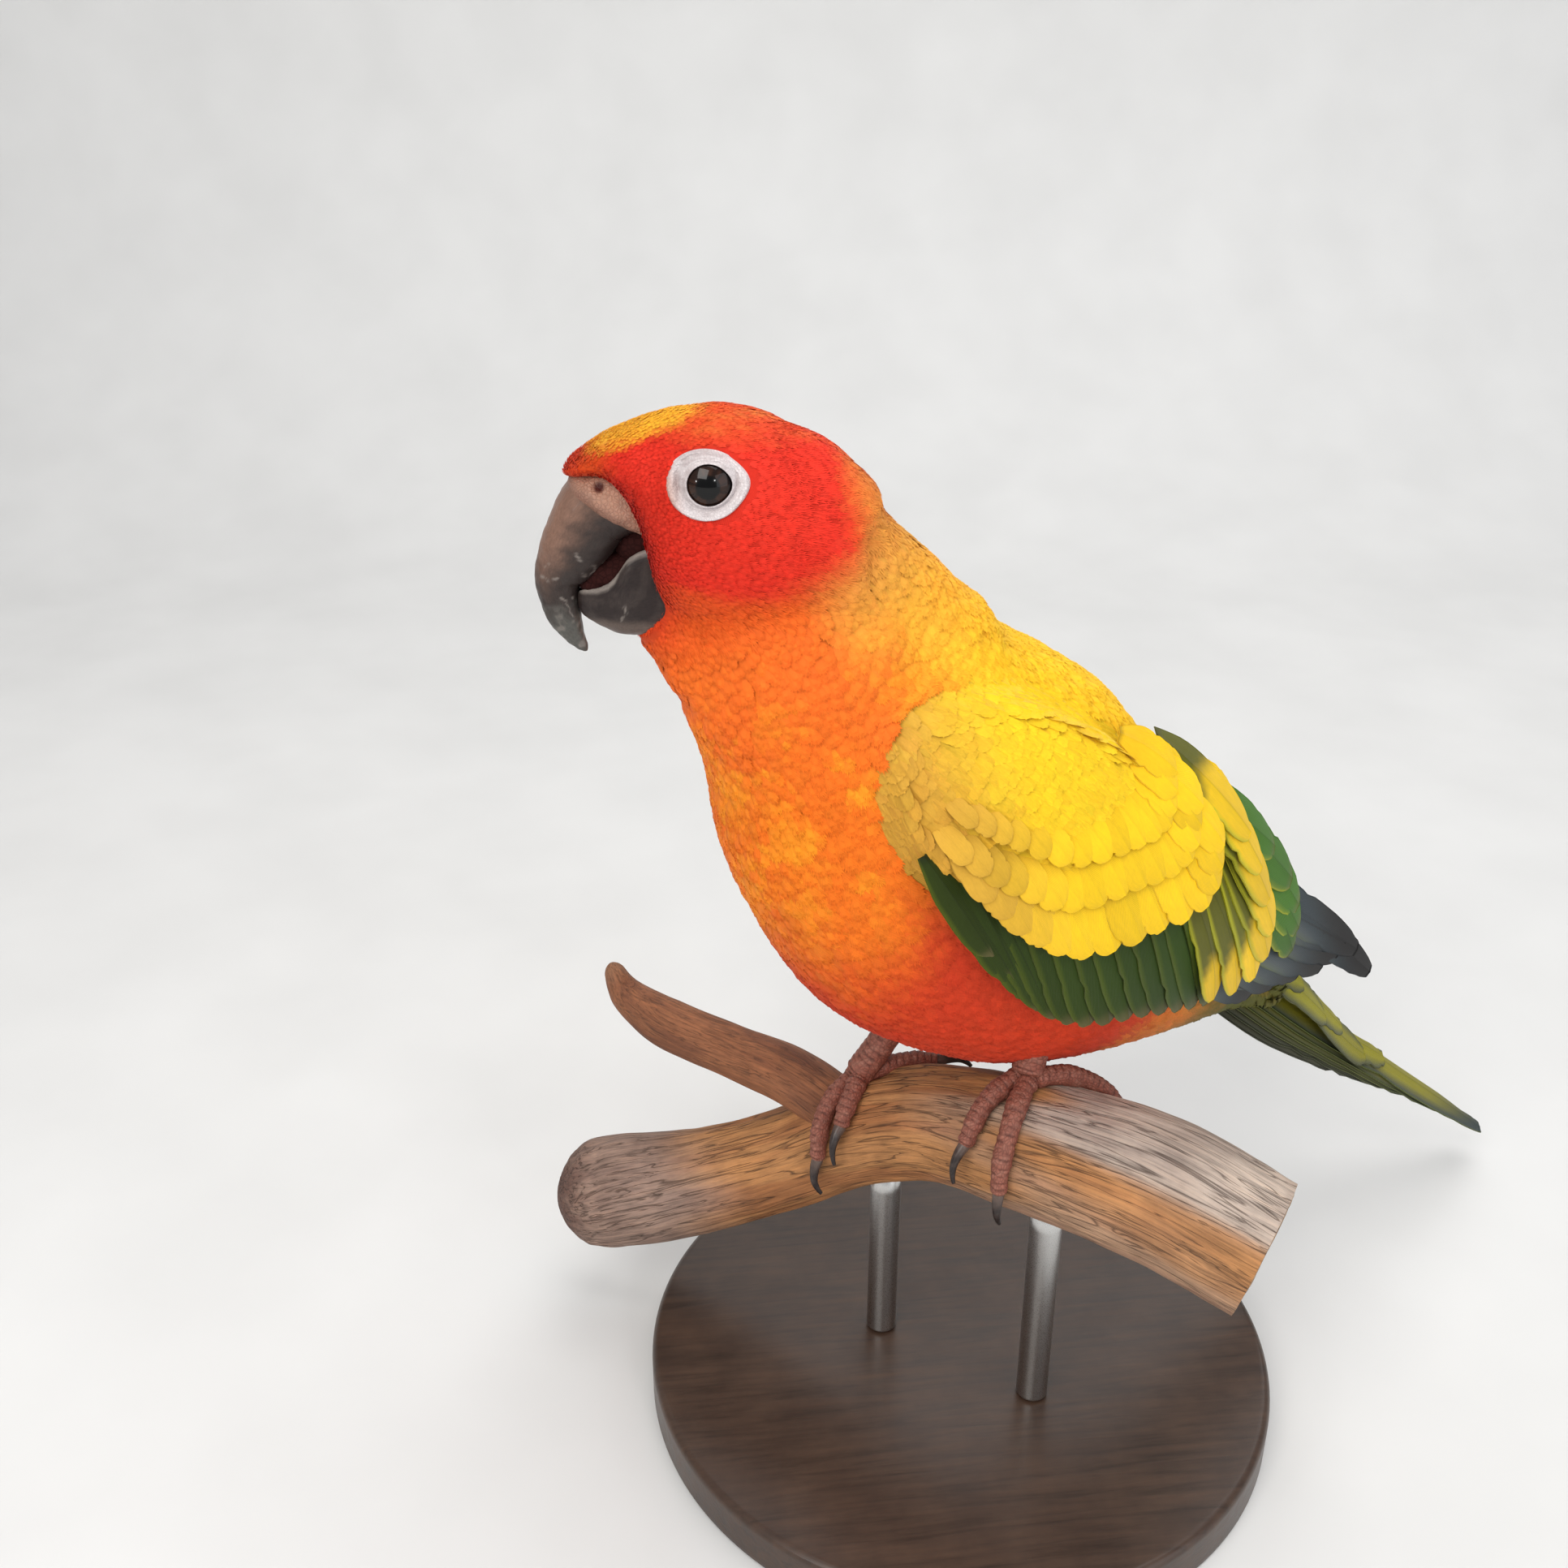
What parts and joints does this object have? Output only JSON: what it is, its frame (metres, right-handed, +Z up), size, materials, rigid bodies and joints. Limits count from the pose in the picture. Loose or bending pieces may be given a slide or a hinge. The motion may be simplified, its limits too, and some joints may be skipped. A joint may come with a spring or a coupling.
{
  "type": "sun conure model",
  "caption": "Life-size sun conure, wings folded and head turned, gripping a cut length of driftwood on a plain display stand.",
  "frame": {"origin": "centre of the underside of the display stand's round base", "axes": "+Z up, the bird's body faces -Y, its left side is +X"},
  "size_m": [0.1282, 0.2237, 0.2025],
  "materials": {
    "head_feathers": "matt small feathers, red and yellow",
    "body_feathers": "matt small feathers, orange and yellow",
    "wing_feathers": "smooth vanes, yellow, green and blue-grey",
    "tail_feathers": "smooth vanes, olive with yellow-green edges",
    "eye_skin": "bare whitish skin",
    "eye": "wet gloss",
    "cere_skin": "bare pinkish skin",
    "bill_horn": "satin horn, flaked",
    "foot_skin": "scaled skin",
    "claw_horn": "satin horn",
    "driftwood": "bare weathered wood",
    "base_wood": "dark satin stain",
    "rod_steel": "brushed"
  },
  "bodies": {
    "root": {"head": "head_feathers", "neck": "body_feathers", "torso": "body_feathers", "rump": "body_feathers", "wing_left": "wing_feathers", "wing_right": "wing_feathers", "tail": "tail_feathers", "eye_ring_left": "eye_skin", "eye_ring_right": "eye_skin", "eye_left": "eye", "eye_right": "eye", "cere": "cere_skin", "bill_upper": "bill_horn", "bill_lower": "bill_horn", "perch_limb": "driftwood", "perch_twig": "driftwood", "stand_base": "base_wood", "stand_rod_1": "rod_steel", "stand_rod_2": "rod_steel", "foot_left": "foot_skin", "claw_left_front_outer": "claw_horn", "claw_left_front_inner": "claw_horn", "claw_left_back_outer": "claw_horn", "claw_left_back_inner": "claw_horn", "foot_right": "foot_skin", "claw_right_front_outer": "claw_horn", "claw_right_front_inner": "claw_horn", "claw_right_back_outer": "claw_horn", "claw_right_back_inner": "claw_horn"}
  },
  "joints": []
}
